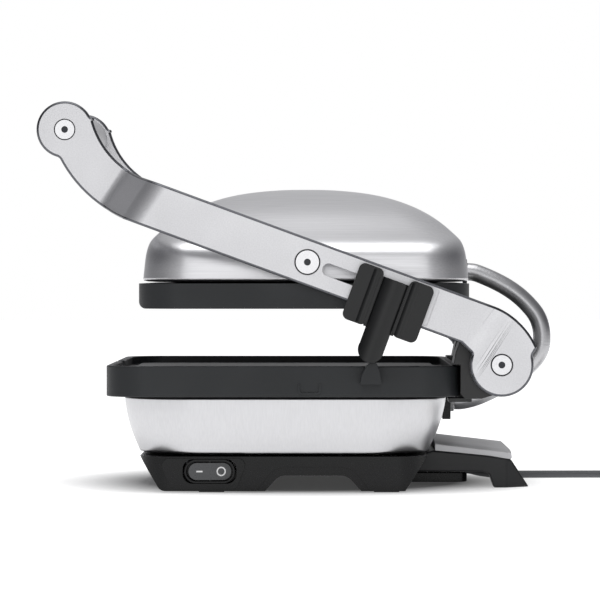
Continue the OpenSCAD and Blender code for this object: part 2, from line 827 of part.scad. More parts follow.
// The cover is crowned from side to side
tail_crown = 4.2;
crown_r = (pow(tail_half_w, 2) + pow(tail_crown, 2)) / (2 * tail_crown);
module tail_cover() {
  color("#bfc0c2") intersection() {
    slab(-tail_half_w + 0.5, tail_half_w - 0.5) polygon([
      [tail_y0 + 6, tray_z + 1.2], [115, 25.3], [137, 23.1], [153, 20.5], [153.6, 21.6],
      [153, 27], [tail_y0 + 6, 34]
    ]);
    translate([0, 0, -1]) linear_extrude(60) tail_plan();
    translate([0, tail_y0 + 6, 27.6 + tail_crown - crown_r]) rotate([-96.6, 0, 0]) translate([0, 0, -200])
      cylinder(r = crown_r, h = 400);
  }
}

cleat_x = 50;
module cord_cleats() {
  color("#101112") both() intersection() {
    translate([cleat_x, 0, 3]) linear_extrude(7) {
      translate([-6, 70]) square([12, 46]);
      translate([0, 116]) circle(r = 6);
    }
    slab(cleat_x - 10, cleat_x + 10)
      polygon([[tray_rear(0), 0], [tray_rear(tray_z), tray_z], [140, tray_z], [140, 0]]);
  }
}

module strain_relief() {
  color("#17181a") translate([cord_x, 76, cord_exit_z]) rotate([-90, 0, 0]) {
    cylinder(r = 4.5, h = 16);
    translate([0, 0, 16]) cylinder(r1 = 5.4, r2 = 3.6, h = 24.4);
  }
}

// ---- conduit and its glands ----

gland_t = 3;
low_gland_y = low_y1 - 2;
low_gland_z = 60;
up_gland_y = dome_y + dome_half_d;
up_gland_z = 156;

module lower_gland_plate() {
  color("#141516") translate([-18, shell_y1, 47]) difference() {
    cube([36, low_gland_y - shell_y1, 20]);
    translate([18, -1, low_gland_z - 47]) rotate([-90, 0, 0]) cylinder(r = 5, h = 10);
  }
}

module lower_gland() {
  color("#bcbdbf") translate([0, low_gland_y, low_gland_z]) rotate([-90, 0, 0]) {
    cylinder(r = 7.8, h = gland_t);
    translate([0, 0, -12]) cylinder(r = 4.9, h = 12);
  }
}

module upper_gland() {
  color("#3b3d40") translate([0, up_gland_y, up_gland_z]) rotate([-90, 0, 0]) {
    translate([0, 0, -4]) cylinder(r = conduit_r - 1.1, h = 4);
    cylinder(r = 9.5, h = gland_t);
  }
}

conduit_route = concat(
  [for (y = [0, 2, 4]) [0, low_gland_y + gland_t + y, low_gland_z]],
  [
    [0, 124, 60.8], [0, 130, 62.4], [0, 138, 65.6], [0, 146, 69.6], [0, 155, 74.8], [0, 164, 81],
    [0, 171, 87], [0, 176.4, 93.4], [0, 179.4, 100.4], [0, 180, 108], [0, 179, 116], [0, 175.8, 124],
    [0, 170, 131.4], [0, 162.6, 138.4], [0, 154.4, 144.2], [0, 145.6, 149],
    [0, 137.6, 152.6], [0, 131.8, 154.8]
  ],
  [for (y = [4, 2, 0]) [0, up_gland_y + gland_t + y, up_gland_z]]
);

module conduit() {
  color("#b5b6b8") sweep_tube(smooth_route(conduit_route, 2), conduit_r, 12, [1, 0, 0]);
}

// ---- mains lead ----

cord_route = [
  [-38, 116.4, 7], [-38, 122, 6.8], [-38, 129, 5.8], [-38, 136, 4.2], [-38, 144, 3.1], [-38, 152, 2.9],
  [-38.4, 170, 2.9], [-39, 190, 2.9], [-39.5, 210, 2.9], [-40, 230, 2.9], [-40.5, 246, 2.9], [-40.8, 262, 2.9]
];
coil_at = [-7, 266];
coil_mid_r = 31;

module cord_lead() {
  color("#3d3e40") sweep_tube(cord_route, cord_r, 8, [1, 0, 0]);
}

module cord_coil() {
  color("#3d3e40") translate([coil_at[0], coil_at[1], 0]) rotate_extrude()
    translate([coil_mid_r - 2 * cord_r, 0]) square([4 * cord_r, 4 * cord_r]);
}

cord_end_route = [
  [10, 297, 8.4], [16, 299.5, 7.6], [22, 300.6, 6.6], [28, 301, 5.8], [34, 301, 5.8]
];
module cord_end() {
  color("#3d3e40") sweep_tube(cord_end_route, cord_r, 8, [0, 1, 0]);
}

module plug_body() {
  color("#1c1d1f") translate([34, 301, 0]) {
    translate([0, -5, 1]) cube([12, 10, 9]);
    translate([12, -11, 0]) cube([22, 22, 13]);
  }
}

module plug_blades() {
  color("#c9b98a") for (y = [-6.4, 6.4]) translate([68, 301 + y - 0.8, 3.2]) cube([17, 1.6, 6.4]);
}

base_tray();
rubber_feet();
lower_housing();
lower_plate();
slider_rest();
lock_mark();
lower_element();
lower_heat_shield();
lower_thermostat();
terminal_block();
housing_screws();
hinge_frame();
hinge_bushes();
switch_bezel();
switch_body();
rocker();
tail_body();
tail_cover();
cord_cleats();
strain_relief();
lower_gland();
lower_gland_plate();
hinge_shaft();
hinge_caps();
arm_right();
arm_left();
handle_grip();
grip_rod();
grip_screws();
upper_housing();
upper_plate();
upper_element();
upper_heat_shield();
upper_thermostat();
head_frame();
pivot_studs();
pivot_caps();
upper_gland();
height_slider();
slider_key();
conduit();
cord_lead();
cord_coil();
cord_end();
plug_body();
plug_blades();
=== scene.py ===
# %% [markdown]
# # A panini press, piece by piece
# The frame holds every working part at its true size. This lesson gives each of them the shape and
# finish of the real thing. Everything is in metres, with +X the user's right, -Y the front and Z = 0
# the table.

# %% Load the frame
import json
import math

import bmesh
import bpy
from mathutils import Matrix, Vector


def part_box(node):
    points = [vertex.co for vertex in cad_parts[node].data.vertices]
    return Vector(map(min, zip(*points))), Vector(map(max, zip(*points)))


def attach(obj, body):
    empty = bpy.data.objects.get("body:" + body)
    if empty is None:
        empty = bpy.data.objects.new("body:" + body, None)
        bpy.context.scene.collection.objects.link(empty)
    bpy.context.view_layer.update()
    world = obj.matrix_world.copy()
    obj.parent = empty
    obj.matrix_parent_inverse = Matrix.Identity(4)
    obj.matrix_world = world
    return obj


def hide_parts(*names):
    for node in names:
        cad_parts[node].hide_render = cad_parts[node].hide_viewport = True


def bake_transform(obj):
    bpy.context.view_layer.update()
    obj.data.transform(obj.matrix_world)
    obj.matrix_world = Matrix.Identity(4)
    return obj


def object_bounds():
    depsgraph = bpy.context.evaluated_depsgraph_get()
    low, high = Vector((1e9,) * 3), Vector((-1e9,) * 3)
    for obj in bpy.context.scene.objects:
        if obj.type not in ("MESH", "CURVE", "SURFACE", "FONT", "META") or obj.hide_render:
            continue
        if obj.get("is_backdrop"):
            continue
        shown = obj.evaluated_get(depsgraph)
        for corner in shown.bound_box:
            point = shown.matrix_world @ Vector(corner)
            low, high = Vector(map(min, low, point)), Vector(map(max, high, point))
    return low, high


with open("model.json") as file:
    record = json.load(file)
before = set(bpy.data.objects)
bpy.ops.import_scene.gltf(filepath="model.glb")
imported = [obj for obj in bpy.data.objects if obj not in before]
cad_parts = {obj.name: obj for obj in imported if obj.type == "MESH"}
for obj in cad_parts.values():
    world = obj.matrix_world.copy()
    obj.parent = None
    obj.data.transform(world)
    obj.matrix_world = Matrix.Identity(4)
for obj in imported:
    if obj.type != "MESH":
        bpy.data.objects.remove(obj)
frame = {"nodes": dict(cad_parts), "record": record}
cad_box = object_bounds()
record = frame["record"]
body_of_node = {n: b for b, names in record["behaviour"]["bodies"].items() for n in names}
MM = 0.001

# %% [markdown]
# ## The camera
# A long lens far to the right side flattens the perspective, so the arms, the plates and the slider
# stay nearly parallel, as in a catalogue picture of an appliance.

# %% Camera
camera_data = bpy.data.cameras.new("side_camera")
camera_data.lens = 196.4
camera_data.sensor_width = 36
camera = bpy.data.objects.new("side_camera", camera_data)
bpy.context.scene.collection.objects.link(camera)
camera.location = (2.438, 0.01335, 0.1558)
aim = Vector((0.146, 0.0008, 0.1362)) - camera.location
camera.rotation_euler = aim.to_track_quat("-Z", "Y").to_euler()
bpy.context.scene.camera = camera
print("camera looks along", tuple(round(v, 3) for v in (camera.matrix_basis.to_3x3() @ Vector((0, 0, -1)))))

# %% [markdown]
# ## Node helpers
# A finish is built from a few shader nodes. One small function adds a node with its settings and its
# links, and another turns the sRGB hex values that paint charts use into the linear values that the
# shader needs.

# %% Colours and nodes
def colour(hex_value):
    """An sRGB hex colour as linear RGBA."""
    parts = [int(hex_value[i:i + 2], 16) / 255 for i in (1, 3, 5)]
    return tuple(p / 12.92 if p <= 0.04045 else ((p + 0.055) / 1.055) ** 2.4 for p in parts) + (1.0,)


def add(tree, kind, settings=(), links=(), **sockets):
    """A shader node with its properties, its socket values and the links that come into it."""
    n = tree.nodes.new("ShaderNode" + kind)
    for name, value in dict(settings).items():
        setattr(n, name, value)
    for name, value in sockets.items():
        n.inputs[name.replace("_", " ")].default_value = value
    for socket, source in dict(links).items():
        tree.links.new(source, n.inputs[socket])
    return n


def finish_of(name, base, roughness, metallic=0.0, **shader):
    """A new material with its shader set to plain values: (material, tree, shader node)."""
    m = bpy.data.materials.new(name)
    m.use_nodes = True
    s = m.node_tree.nodes["Principled BSDF"]
    s.inputs["Base Color"].default_value = colour(base)
    s.inputs["Roughness"].default_value = roughness
    s.inputs["Metallic"].default_value = metallic
    for k, v in shader.items():
        s.inputs[k.replace("_", " ")].default_value = v
    m.diffuse_color = colour(base)
    return m, m.node_tree, s


def place(tree, scale=(1, 1, 1), rotation=(0, 0, 0)):
    """Object coordinates, stretched and turned: the way a pattern lies on a piece."""
    where = add(tree, "TexCoord").outputs["Object"]
    return add(tree, "Mapping", links={"Vector": where}, Scale=scale, Rotation=rotation).outputs["Vector"]


def noise(tree, size_mm, detail):
    """An even noise with grains of a real size."""
    n = add(tree, "TexNoise", links={"Vector": place(tree)}, Scale=1 / (size_mm * MM), Detail=detail)
    return n.outputs["Fac"]


def ramp(tree, source, low, high, out_low, out_high):
    """Maps low..high of a pattern to out_low..out_high."""
    n = add(tree, "MapRange", links={"Value": source})
    for socket, value in zip(("From Min", "From Max", "To Min", "To Max"), (low, high, out_low, out_high)):
        n.inputs[socket].default_value = value
    return n.outputs["Result"]


def tint(tree, shader, source, dark, light):
    """The base colour runs between two paints as a pattern does."""
    n = add(tree, "ValToRGB", links={"Fac": source})
    n.color_ramp.elements[0].color = colour(dark)
    n.color_ramp.elements[1].color = colour(light)
    tree.links.new(n.outputs["Color"], shader.inputs["Base Color"])


def relief(tree, shader, source, depth_mm, strength=1.0):
    """A bump of a real depth."""
    n = add(tree, "Bump", links={"Height": source}, Strength=strength, Distance=depth_mm * MM)
    tree.links.new(n.outputs["Normal"], shader.inputs["Normal"])


print("white is", colour("#ffffff"))

# %% [markdown]
# ## Brushed steel
# The dome and the lower housing are pressed from stainless sheet, brushed before pressing. The belt
# leaves fine lines along the dome and down the housing. Real lines are about 0.1 mm apart, too fine to
# show, so they are drawn 0.8 mm apart and 30 to 60 mm long. Stretched noise gives such lines: the grain is
# stretched along the brushing, and it drives the tone, the roughness and a very shallow bump.

# %% Brushed steel
def brushed(name, dark, light, rough, line_mm, length_mm, depth_mm, spread=0.07, along="X"):
    m, tree, s = finish_of(name, light, rough, 1.0)
    fine, long = 1 / (line_mm * MM), 1 / (length_mm * MM)
    stretch = {"X": (long, fine, fine), "Y": (fine, long, fine), "Z": (fine, fine, long)}[along]
    lines = add(tree, "TexNoise", links={"Vector": place(tree, stretch)}, Scale=1.0, Detail=3.0,
                Roughness=0.6).outputs["Fac"]
    tint(tree, s, ramp(tree, lines, 0.3, 0.7, 0.0, 1.0), dark, light)
    tree.links.new(ramp(tree, lines, 0.3, 0.7, rough + spread, rough - spread), s.inputs["Roughness"])
    relief(tree, s, lines, depth_mm, 0.5)
    return m


LINE_MM = 0.8
dome_steel = brushed("brushed_stainless_dome", "#c8c8ca", "#d4d4d6", 0.36, LINE_MM, 60, 0.005, 0.05, "Y")
shell_steel = brushed("brushed_stainless_shell", "#c2c2c4", "#c8c8ca", 0.33, LINE_MM, 30, 0.002, 0.03, "Z")
print("brushed steel lines:", LINE_MM, "mm apart")

# %% [markdown]
# ## Cast aluminium arms
# The arms and the handle are die-cast, ground and clear-coated to a soft satin. Their ground edges are
# bevels with a darker material: painted shade for the dark outline the edges show. The blasting leaves a
# faint grain, drawn 1 mm wide so that it still shows from afar.

# %% Satin aluminium
def satin(name, light, rough, grain_mm, depth_mm, dark=None, spread=0.05):
    m, tree, s = finish_of(name, light, rough, 1.0)
    grain = noise(tree, grain_mm, 2.0)
    soft = noise(tree, 45, 2.0)
    tree.links.new(ramp(tree, soft, 0.3, 0.7, rough - spread, rough + spread), s.inputs["Roughness"])
    if dark:
        tint(tree, s, ramp(tree, grain, 0.3, 0.7, 0.0, 1.0), dark, light)
    relief(tree, s, grain, depth_mm, 0.4)
    return m


satin_aluminium = satin("satin_cast_aluminium", "#cfcfd1", 0.44, 1.0, 0.006, "#c6c6c8")
# painted shade: the edge material is darker to stand in for the dark outline along the arms' edges
painted_shade_edge = satin("painted_shade_edge_aluminium", "#66676b", 0.34, 0.8, 0.01, "#55565a")
turned_aluminium = satin("turned_aluminium", "#dcdcdd", 0.3, 0.6, 0.01, "#cbcbcd")
# painted shade: the caps' edge ring and their sockets are darkened to stand in for the shadow in the gap and
# the recess
cap_painted_shade = satin("cap_painted_shade_aluminium", "#3a3b3e", 0.34, 0.6, 0.01)
print("ground edge is", tuple(round(c, 3) for c in painted_shade_edge.diffuse_color))

# %% [markdown]
# ## Cooking plates
# The plates are cast aluminium with a baked non-stick coat. The coat follows the sand-like skin of the
# casting, with a grit of about 1 mm. The cast frame behind them is painted black.

# %% Non-stick casting
def coated(name, dark, light, rough, grit_mm, depth_mm, **shader):
    m, tree, s = finish_of(name, light, rough, 0.0, **shader)
    grit = noise(tree, grit_mm, 3.0)
    cloud = noise(tree, 60, 1.0)
    tint(tree, s, ramp(tree, cloud, 0.3, 0.7, 0.0, 1.0), dark, light)
    tree.links.new(ramp(tree, grit, 0.3, 0.7, rough - 0.06, rough + 0.06), s.inputs["Roughness"])
    relief(tree, s, grit, depth_mm, 0.5)
    return m


GRIT_MM = 1.0
non_stick = coated("non_stick_coated_casting", "#1d1f21", "#252729", 0.44, GRIT_MM, 0.035,
                   Specular_IOR_Level=0.3)
black_paint = coated("satin_black_painted_casting", "#060606", "#0a0a0b", 0.4, 0.8, 0.02)
print("plate grit:", GRIT_MM, "mm")

# %% [markdown]
# ## Plastics and rubber
# The tray, the tail and the slider are moulded ABS with a spark-eroded texture, a grain of about
# 0.8 mm that breaks up the shine. The tail's cover is painted silver. Rubber is duller and softer.

# %% Moulded plastics
tray_plastic = coated("moulded_black_abs", "#060607", "#0a0b0c", 0.28, 0.8, 0.01, Specular_IOR_Level=0.25)
tail_plastic = coated("moulded_charcoal_abs", "#0e0f11", "#141517", 0.38, 0.8, 0.015, Specular_IOR_Level=0.35)
slider_plastic = coated("moulded_slider_nylon", "#0a0b0c", "#101112", 0.34, 0.8, 0.015,
                        Specular_IOR_Level=0.35)
silver_paint = coated("silver_painted_abs", "#b0b0b2", "#bcbcbe", 0.42, 0.5, 0.01,
                      Coat_Weight=0.3, Coat_Roughness=0.3)
rocker_plastic = coated("polished_rocker_pc", "#2a2c2e", "#303234", 0.3, 1.2, 0.005,
                        Coat_Weight=0.3, Coat_Roughness=0.2)
mark_white = coated("pad_printed_white", "#d8d8d8", "#e0e0e0", 0.5, 0.4, 0.005)
rubber = coated("black_rubber", "#1e1e1f", "#252526", 0.8, 0.5, 0.05)
cord_pvc = coated("extruded_pvc_sheath", "#46474a", "#4e4f52", 0.5, 0.5, 0.02)
ceramic = coated("glazed_steatite", "#cfc8b8", "#d8d2c2", 0.3, 1.0, 0.02)
conduit_steel = satin("wound_conduit_steel", "#b4b4b6", 0.34, 0.6, 0.003)
plain_steel = satin("turned_steel", "#9a9c9e", 0.35, 0.4, 0.01)
sintered_bronze = satin("sintered_bronze", "#a98552", 0.45, 0.4, 0.02)
sheet_aluminium = brushed("rolled_aluminium_sheet", "#b8b9bb", "#c8c9cb", 0.3, LINE_MM, 60, 0.01)
plated_brass = satin("plated_brass", "#cdb77c", 0.25, 0.5, 0.005)
print("finishes:", len(bpy.data.materials))

# %% [markdown]
# ## Keeping a CAD piece
# Many pieces already have the right shape and only lack what a mould or a die leaves: small round
# edges. A copy of the CAD mesh is welded, its flat faces are cleaned of needless edges, and a Bevel
# modifier rounds what is left. Weighted normals keep the flats flat.

# %% Helper: a finished copy of a frame piece
def smooth(obj, degrees=35):
    """Smooth shading that stays sharp over an angle."""
    for p in obj.data.polygons:
        p.use_smooth = True
    bm = bmesh.new()
    bm.from_mesh(obj.data)
    for e in bm.edges:
        e.smooth = len(e.link_faces) == 2 and e.calc_face_angle(0) < math.radians(degrees)
    bm.to_mesh(obj.data)
    bm.free()


def object_from(bm, name, *materials):
    """A bmesh as an object at the origin, with its faces turned outwards."""
    bmesh.ops.remove_doubles(bm, verts=bm.verts, dist=1e-6)
    bmesh.ops.recalc_face_normals(bm, faces=bm.faces)
    mesh = bpy.data.meshes.new(name)
    bm.to_mesh(mesh)
    bm.free()
    for m in materials:
        mesh.materials.append(m)
    obj = bpy.data.objects.new(name, mesh)
    bpy.context.scene.collection.objects.link(obj)
    return obj


def round_edges(obj, width_mm, segments=2, degrees=28, edge_slot=-1, chosen=None):
    """Rounds every edge over an angle, or at full width only the edges that chosen picks by their middle."""
    bevel = obj.modifiers.new("round_edges", "BEVEL")
    bevel.width = width_mm * MM
    bevel.segments = segments
    bevel.limit_method = "WEIGHT" if chosen else "ANGLE"
    bevel.angle_limit = math.radians(degrees)
    bevel.use_clamp_overlap = not chosen
    bevel.material = edge_slot
    bevel.miter_outer = "MITER_ARC"
    if chosen:
        bm = bmesh.new()
        bm.from_mesh(obj.data)
        weight = bm.edges.layers.float.new("bevel_weight_edge")
        for e in bm.edges:
            middle = (e.verts[0].co + e.verts[1].co) / 2 / MM
            if len(e.link_faces) == 2 and e.calc_face_angle(0) > math.radians(degrees) and chosen(middle):
                e[weight] = 1.0
        bm.to_mesh(obj.data)
        bm.free()
    normals = obj.modifiers.new("flat_faces", "WEIGHTED_NORMAL")
    normals.keep_sharp = True


def keep(node, material, width_mm=0.5, segments=2, edge=None, degrees=28, chosen=None, merge_flats=True):
    """A welded copy of a CAD node with rounded edges, in its place and on its body."""
    bm = bmesh.new()
    bm.from_mesh(frame["nodes"][node].data)
    bmesh.ops.remove_doubles(bm, verts=bm.verts, dist=2e-6)
    if merge_flats:
        bmesh.ops.dissolve_limit(bm, angle_limit=math.radians(0.6), verts=bm.verts, edges=bm.edges)
    mesh = bpy.data.meshes.new(node + "_piece")
    bm.to_mesh(mesh)
    bm.free()
    for m in (material, edge) if edge else (material,):
        mesh.materials.append(m)
    obj = bpy.data.objects.new(node + "_piece", mesh)
    bpy.context.scene.collection.objects.link(obj)
    smooth(obj, degrees)
    if width_mm:
        round_edges(obj, width_mm, segments, degrees, 1 if edge else -1, chosen)
    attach(obj, body_of_node[node])
    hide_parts(node)
    return obj


# %% [markdown]
# ## The mains cord
# A cord is a fixed length of something flexible. It leaves its strain relief straight, sinks to the
# table, runs back, and is wound into a flat coil two turns wide and two high, held by a tie. Each turn
# lies one cord diameter from the next, so where the cord steps in, up and out is worked out turn by
# turn. A curve with a round bevel is the right tool, because its own line is the cord's centreline.

# %% The cord's route
CORD_R = 2.8
COIL = (-7.0, 266.0)
R_OUT, R_IN, Z_LOW, Z_HIGH = 33.8, 28.2, 2.8, 8.4
lead = [(-38, 116.4, 7), (-38, 122, 6.8), (-38, 129, 5.8), (-38, 136, 4.2), (-38, 144, 3.1), (-38, 152, 2.9),
        (-38.4, 170, 2.9), (-39, 190, 2.9), (-39.5, 210, 2.9), (-40, 230, 2.9), (-40.5, 246, 2.85)]


def ease(t):
    t = max(0.0, min(1.0, t))
    return t * t * (3 - 2 * t)


def coil_point(turned):
    """The cord's centre after so many degrees of winding, clockwise from above, from the coil's left."""
    r, z = R_OUT, Z_LOW
    r += (R_IN - R_OUT) * ease((turned - 285) / 70)      # steps inwards at the end of the first turn
    z += (Z_HIGH - Z_LOW) * ease((turned - 560) / 70)    # climbs on top late in the second
    r += (R_OUT - R_IN) * ease((turned - 850) / 65)      # steps outwards in the third
    a = math.radians(180 - turned)
    return (COIL[0] + r * math.cos(a), COIL[1] + r * math.sin(a), z)


winding = [coil_point(turned) for turned in range(0, 1171, 6)]
tail_run = [(-1.5, 300.0, 8.4), (4.5, 300.3, 8.3), (10.5, 300.6, 7.9), (16.5, 300.8, 7.2), (22.5, 300.9, 6.4),
            (28.5, 301, 5.9), (35, 301, 5.8)]
route = [Vector(p) * MM for p in lead + winding + tail_run]

# %% The cord, its tie and its plug
curve = bpy.data.curves.new("mains_cord", "CURVE")
curve.dimensions = "3D"
curve.bevel_depth = CORD_R * MM
curve.bevel_resolution = 4
curve.use_fill_caps = True
spline = curve.splines.new("POLY")
spline.points.add(len(route) - 1)
for point, place_at in zip(spline.points, route):
    point.co = (*place_at, 1)
spline.use_smooth = True
curve.materials.append(cord_pvc)
cord = bpy.data.objects.new("mains_cord", curve)
bpy.context.scene.collection.objects.link(cord)
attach(cord, "base")
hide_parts("cord_lead", "cord_coil", "cord_end")


def box_bm(lo, hi):
    """A box from corner to corner, in millimetres, as a bmesh."""
    bm = bmesh.new()
    bmesh.ops.create_cube(bm, size=1)
    size = [(b - a) * MM for a, b in zip(lo, hi)]
    bmesh.ops.scale(bm, vec=size, verts=bm.verts)
    bmesh.ops.translate(bm, vec=[(a + b) / 2 * MM for a, b in zip(lo, hi)], verts=bm.verts)
    return bm


def join(bm, other):
    """Adds another bmesh's faces to bm."""
    mesh = bpy.data.meshes.new("part")
    other.to_mesh(mesh)
    bm.from_mesh(mesh)
    bpy.data.meshes.remove(mesh)
    other.free()


# the tie: a flat band round the four runs at the coil's right
tie_bm = box_bm((18.0, 264.0, 0.05), (30.0, 268.0, 11.6))
bmesh.ops.delete(tie_bm, geom=[f for f in tie_bm.faces if abs(f.normal.y) > 0.9], context="FACES_ONLY")
bmesh.ops.bevel(tie_bm, geom=[e for e in tie_bm.edges if abs((e.verts[0].co - e.verts[1].co).y) > 0.003],
                offset=2.6 * MM, segments=5, affect="EDGES", profile=0.5, material=-1)
bmesh.ops.recalc_face_normals(tie_bm, faces=tie_bm.faces)
bmesh.ops.solidify(tie_bm, geom=tie_bm.faces[:], thickness=0.5 * MM)
tie = object_from(tie_bm, "cord_tie", rubber)
smooth(tie)
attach(tie, "base")

plug_bm = box_bm((46, 290, 0.1), (68, 312, 12.9))
bmesh.ops.bevel(plug_bm, geom=plug_bm.edges[:], offset=2.6 * MM, segments=4, affect="EDGES",
                profile=0.5, material=-1)
for x in (49, 53, 57):     # grip ridges across the body
    ridge = box_bm((x, 289.6, 1.2), (x + 1.6, 312.4, 11.8))
    bmesh.ops.bevel(ridge, geom=ridge.edges[:], offset=0.6 * MM, segments=2, affect="EDGES",
                    profile=0.5, material=-1)
    join(plug_bm, ridge)
neck = bmesh.new()
lying = Matrix.Translation((40.4 * MM, 301 * MM, 5.8 * MM)) @ Matrix.Rotation(math.pi / 2, 4, "Y")
bmesh.ops.create_cone(neck, cap_ends=True, segments=32, radius1=3.4 * MM, radius2=5.2 * MM, depth=13 * MM,
                      matrix=lying)
join(plug_bm, neck)
plug = object_from(plug_bm, "plug_moulding", tray_plastic)
smooth(plug)
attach(plug, "base")
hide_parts("plug_body")
blades = keep("plug_blades", plated_brass, 0.3)
print("plug and tie in place")

# %% [markdown]
# ## Rings pulled into shells
# The dome and the housing are deep-drawn sheet: a rounded outline that closes in as it rises. The
# outline is a square whose corners are bevelled. It is then extruded upwards ring by ring, each ring
# scaled to its own width and depth, and a Subdivision Surface makes the wall smooth.

# %% Helper: a drawn shell
def drawn(name, levels, corner_mm, material, rounding=0.0, round_above=0, segments=8):
    """levels: (z, half width, front, rear) in mm, from the bottom, closed at both ends.

    Above the level round_above each ring is drawn a share of the way to an ellipse."""
    z, half, front, rear = levels[0]
    bm = bmesh.new()
    bmesh.ops.create_grid(bm, x_segments=1, y_segments=1, size=1)
    bmesh.ops.scale(bm, vec=(half * MM, (rear - front) / 2 * MM, 1), verts=bm.verts)
    bmesh.ops.bevel(bm, geom=bm.verts[:], offset=corner_mm * MM, segments=segments, affect="VERTICES",
                    profile=0.5, material=-1)
    long_sides = [e for e in bm.edges if e.calc_length() > 2 * corner_mm * MM]
    bmesh.ops.subdivide_edges(bm, edges=long_sides, cuts=5)
    bmesh.ops.translate(bm, vec=(0, (front + rear) / 2 * MM, z * MM), verts=bm.verts)
    foot = bm.edges[:]
    crease = bm.edges.layers.float.new("crease_edge")
    rim = [e for e in bm.edges if e.is_boundary]
    for i, (before, now) in enumerate(zip(levels, levels[1:])):
        grown = bmesh.ops.extrude_edge_only(bm, edges=rim)["geom"]
        verts = [g for g in grown if isinstance(g, bmesh.types.BMVert)]
        rim = [g for g in grown if isinstance(g, bmesh.types.BMEdge)]
        was_middle, was_depth = (before[2] + before[3]) / 2, (before[3] - before[2]) / 2
        middle, depth = (now[2] + now[3]) / 2, (now[3] - now[2]) / 2
        # a ring is scaled and rounded about its own middle, then moved to its place
        bmesh.ops.translate(bm, vec=(0, -was_middle * MM, 0), verts=verts)
        bmesh.ops.scale(bm, vec=(now[1] / before[1], depth / was_depth, 1), verts=verts)
        for v in verts if rounding and i >= round_above else ():
            far = math.hypot(v.co.x / (now[1] * MM), v.co.y / (depth * MM))
            pull = rounding * (1 / far - 1)
            bmesh.ops.translate(bm, vec=(v.co.x * pull, v.co.y * pull, 0), verts=[v])
        bmesh.ops.translate(bm, vec=(0, middle * MM, (now[0] - before[0]) * MM), verts=verts)
    bmesh.ops.holes_fill(bm, edges=rim, sides=0)
    for e in foot:                 # the sheet's lower edge stays sharp
        if e.is_valid and len(e.link_faces) == 2 and e.calc_face_angle(0) > 1:
            e[crease] = 1.0
    obj = object_from(bm, name, material)
    for p in obj.data.polygons:
        p.use_smooth = True
    soft = obj.modifiers.new("drawn_smooth", "SUBSURF")
    soft.levels = soft.render_levels = 2
    return obj


# height as a share of the whole, inset along X, inset along Y
dome_profile = [
    (0, 0, 0), (0.03, 0.1, 0.2), (0.12, 0.4, 0.8), (0.22, 0.8, 1.5), (0.30, 1.9, 2.2), (0.36, 4.2, 3.2),
    (0.41, 8.0, 4.4), (0.455, 13.5, 6.0), (0.52, 22, 8.8), (0.62, 34, 14.6), (0.73, 47, 25), (0.82, 61, 37),
    (0.90, 77, 52), (0.955, 94, 69), (0.985, 110, 88), (1.0, 126, 106),
]
dome_lo, dome_hi = (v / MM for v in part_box("upper_housing"))
dome_levels = [
    (dome_lo.z + s * (dome_hi.z - dome_lo.z), dome_hi.x - dx, dome_lo.y + dy, dome_hi.y - dy)
    for s, dx, dy in dome_profile
]
DOME_CORNER = 34
dome = drawn("dome_shell", dome_levels, DOME_CORNER, dome_steel, rounding=0.08, round_above=7)
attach(dome, "head")
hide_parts("upper_housing")
print("dome:", [round(v, 1) for v in dome_hi - dome_lo], "mm")

# %% [markdown]
# ## The lower housing
# It is drawn the same way, upside down: full width under the plate, then a soft curve in towards the
# black tray.

# %% Lower housing
shell_lo, shell_hi = (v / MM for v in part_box("lower_housing"))
# height as a share of the whole, inset at the front, inset at the rear
shell_profile = [(0, 11.5, 14), (0.06, 10.4, 12.8), (0.16, 8.7, 10.6), (0.3, 6.2, 7.6), (0.5, 3.3, 4.4),
                 (0.72, 1.2, 1.8), (0.9, 0.25, 0.3), (0.97, 0.03, 0.03), (1, 0, 0)]
SIDE_SHARE = 0.55      # of the front's inset, at the sides
SHELL_CORNER = 46
shell_tall = shell_hi.z - shell_lo.z
shell_levels = [
    (shell_lo.z + s * shell_tall, shell_hi.x - SIDE_SHARE * front, shell_lo.y + front, shell_hi.y - rear)
    for s, front, rear in shell_profile
]
shell = drawn("lower_shell", shell_levels, SHELL_CORNER, shell_steel)
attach(shell, "base")
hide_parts("lower_housing")
print("shell:", [round(v, 1) for v in shell_hi - shell_lo], "mm")

# %% [markdown]
# ## Arms, handle and caps
# The arms keep their CAD outline. Only the edges of that outline are worked: a 1.7 mm ground bevel, which
# takes a darker material, painted shade, through the modifier's material slot. A bevel weight picks those
# edges, so the slot, the track and the bores stay as they are. The caps get a painted-shade ring of the
# same kind, and their sockets are painted dark as shade.

# %% Arms and handle
SLOPE = math.radians(20.15)
PIVOT, HINGE, GRIP = (6.0, 162.7), (142.1, 90.7), (-167.2, 257.4)     # axes along X, as Y and Z
SOCKET_R = 2.6


def far_from(middle, centre, radius):
    """Whether a point is further than radius from an axis."""
    return math.hypot(middle.y - centre[0], middle.z - centre[1]) > radius


def on_outline(middle):
    """Whether an edge is on an arm's outline, and not round the slot, the track or a bore."""
    y, z = middle.y - PIVOT[0], middle.z - PIVOT[1]
    along = y * math.cos(SLOPE) - z * math.sin(SLOPE)
    across = y * math.sin(SLOPE) + z * math.cos(SLOPE)
    inside_bar = -12 < along < 104 and abs(across) < 15.2
    return not inside_bar and far_from(middle, GRIP, 10) and far_from(middle, HINGE, 10)


